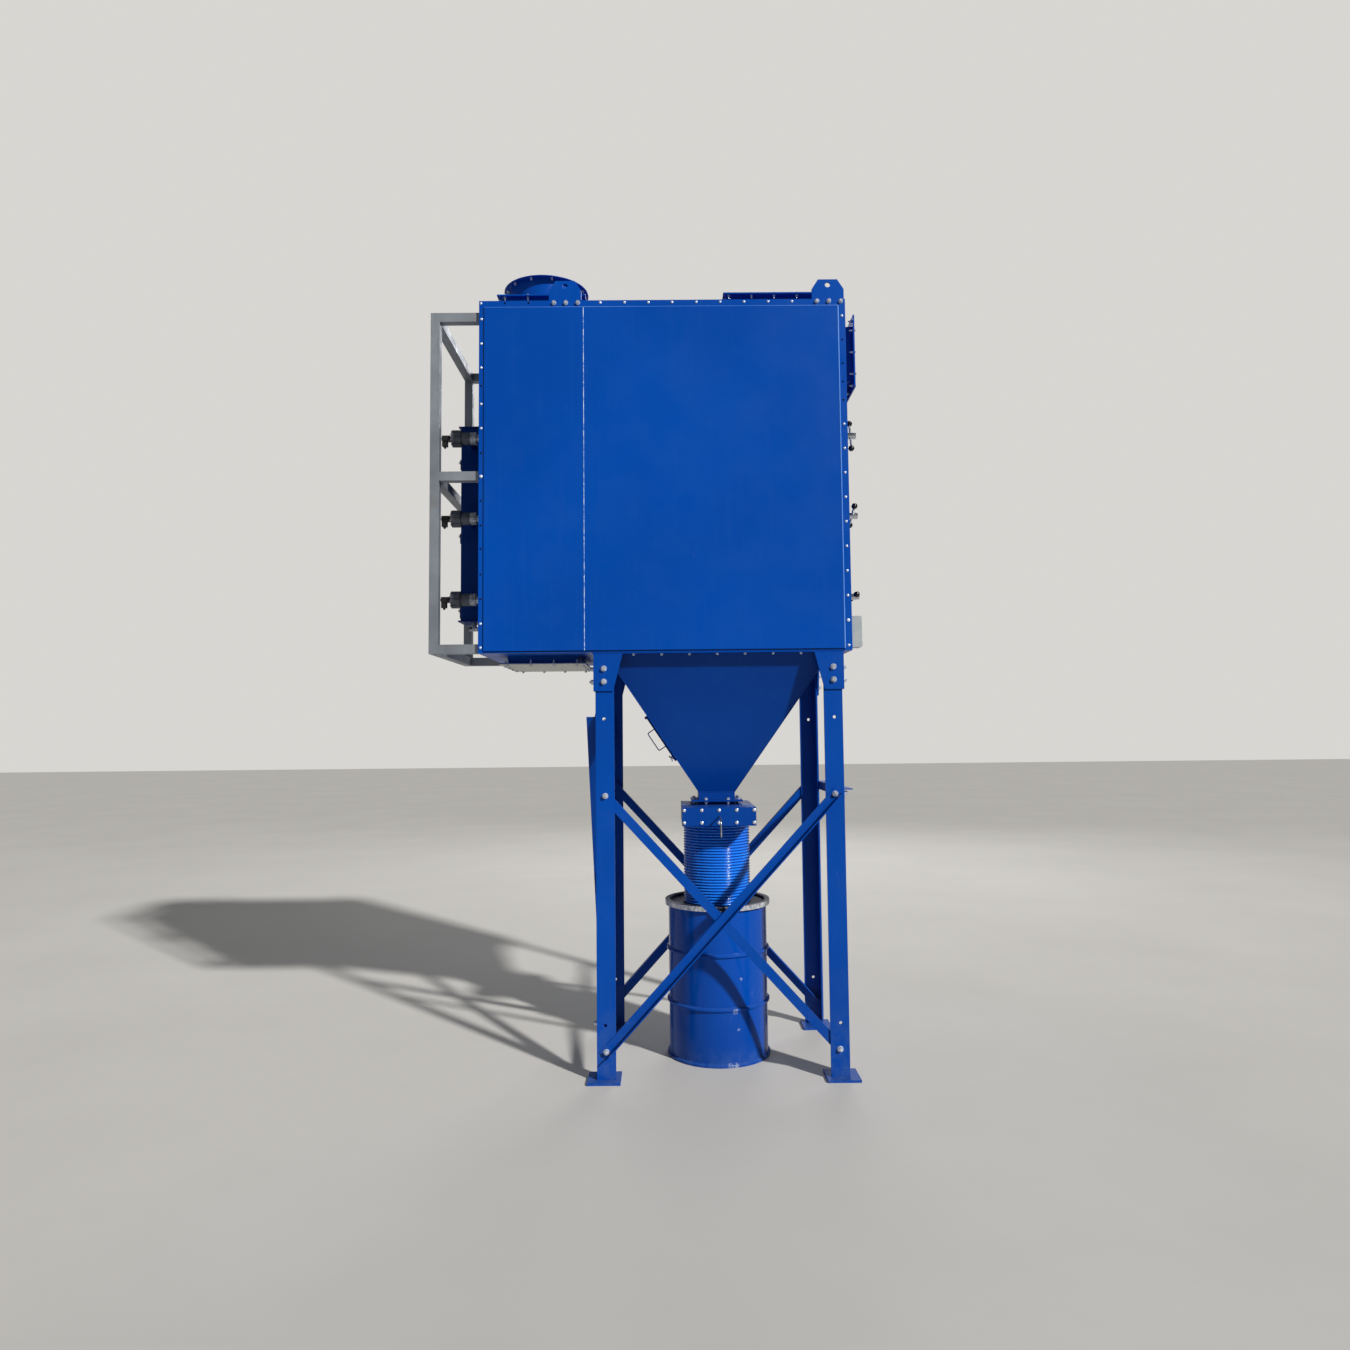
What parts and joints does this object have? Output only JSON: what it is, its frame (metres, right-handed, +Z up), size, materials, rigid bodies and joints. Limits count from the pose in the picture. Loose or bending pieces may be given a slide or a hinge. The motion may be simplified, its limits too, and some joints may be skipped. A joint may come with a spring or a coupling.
{
  "type": "cartridge dust collector",
  "caption": "Tall cartridge dust collector on four braced legs, with a hopper, slide gate, ribbed hose and drum below, pulse valves on one end and access covers on the other.",
  "frame": {"origin": "on the floor at the centre of the four legs", "axes": "+X to the right of the front panel, +Y from front to back, +Z up"},
  "size_m": [2.4175, 1.0654, 4.542],
  "materials": {
    "blue_paint": "gloss blue paint on sheet steel",
    "drum_blue": "gloss blue drum paint",
    "steel": "bare grey steel",
    "zinc_sheet": "galvanised sheet",
    "lid_paint": "dark paint",
    "hose_plastic": "ribbed blue plastic",
    "valve_alloy": "die-cast alloy",
    "coil_plastic": "black moulded",
    "filter_media": "pleated filter medium",
    "box_plastic": "light grey box",
    "handle_steel": "bright bar with black ball knobs"
  },
  "bodies": {
    "collector": {"access_covers": "blue_paint", "access_end_wall": "blue_paint", "air_header": "blue_paint", "back_braces": "blue_paint", "blow_pipes": "steel", "closure_lug": "zinc_sheet", "control_box": "box_plastic", "drum_closure_ring": "zinc_sheet", "drum_lid": "lid_paint", "drum_shell": "drum_blue", "filter_cartridges": "filter_media", "flexible_hose": "hose_plastic", "floor_collar": "blue_paint", "floor_collar_blank": "zinc_sheet", "foot_plates": "blue_paint", "front_braces": "blue_paint", "gate_bottom_plate": "blue_paint", "gate_front_plate": "blue_paint", "gate_ledges": "blue_paint", "gate_rails": "blue_paint", "gate_top_plate": "blue_paint", "guard_frame": "steel", "hatch_hinge": "blue_paint", "header_drain": "steel", "hopper": "blue_paint", "housing_back_panel": "blue_paint", "housing_floor": "blue_paint", "housing_front_panel": "blue_paint", "left_braces": "blue_paint", "leg_brackets": "blue_paint", "legs": "blue_paint", "lifting_lugs": "blue_paint", "outlet_base": "blue_paint", "outlet_stack": "blue_paint", "plenum_back_panel": "blue_paint", "plenum_end_wall": "blue_paint", "plenum_floor": "blue_paint", "plenum_front_panel": "blue_paint", "pulse_valves": "valve_alloy", "right_strut": "blue_paint", "roof": "blue_paint", "side_inlet": "blue_paint", "side_inlet_blank": "blue_paint", "top_inlet": "blue_paint", "top_inlet_blank": "blue_paint", "tube_sheet": "blue_paint", "valve_coils": "coil_plastic"},
    "gate": {"gate_blade": "steel", "gate_pull_rod": "steel"},
    "hatch": {"hatch_door": "blue_paint"},
    "handle_1": {"cover_handle_1": "handle_steel"},
    "handle_2": {"cover_handle_2": "handle_steel"},
    "handle_3": {"cover_handle_3": "handle_steel"},
    "handle_4": {"cover_handle_4": "handle_steel"},
    "handle_5": {"cover_handle_5": "handle_steel"},
    "handle_6": {"cover_handle_6": "handle_steel"}
  },
  "joints": [
    {"name": "gate_slide", "type": "slide", "parent": "collector", "child": "gate", "axis": [0, -1, 0], "range_m": [0, 0.214]},
    {"name": "hatch_hinge", "type": "hinge", "parent": "collector", "child": "hatch", "pos_m": [-0.41169, 0, 1.94289], "axis": [0, 1, 0], "range_deg": [0, 110]},
    {"name": "handle_1_spin", "type": "hinge", "parent": "collector", "child": "handle_1", "pos_m": [0.8, -0.24, 2.627], "axis": [1, 0, 0], "continuous": true},
    {"name": "handle_2_spin", "type": "hinge", "parent": "collector", "child": "handle_2", "pos_m": [0.8, 0.24, 2.627], "axis": [1, 0, 0], "continuous": true},
    {"name": "handle_3_spin", "type": "hinge", "parent": "collector", "child": "handle_3", "pos_m": [0.8, -0.24, 3.09824], "axis": [1, 0, 0], "continuous": true},
    {"name": "handle_4_spin", "type": "hinge", "parent": "collector", "child": "handle_4", "pos_m": [0.8, 0.24, 3.09824], "axis": [1, 0, 0], "continuous": true},
    {"name": "handle_5_spin", "type": "hinge", "parent": "collector", "child": "handle_5", "pos_m": [0.8, -0.24, 3.56948], "axis": [1, 0, 0], "continuous": true},
    {"name": "handle_6_spin", "type": "hinge", "parent": "collector", "child": "handle_6", "pos_m": [0.8, 0.24, 3.56948], "axis": [1, 0, 0], "continuous": true}
  ]
}
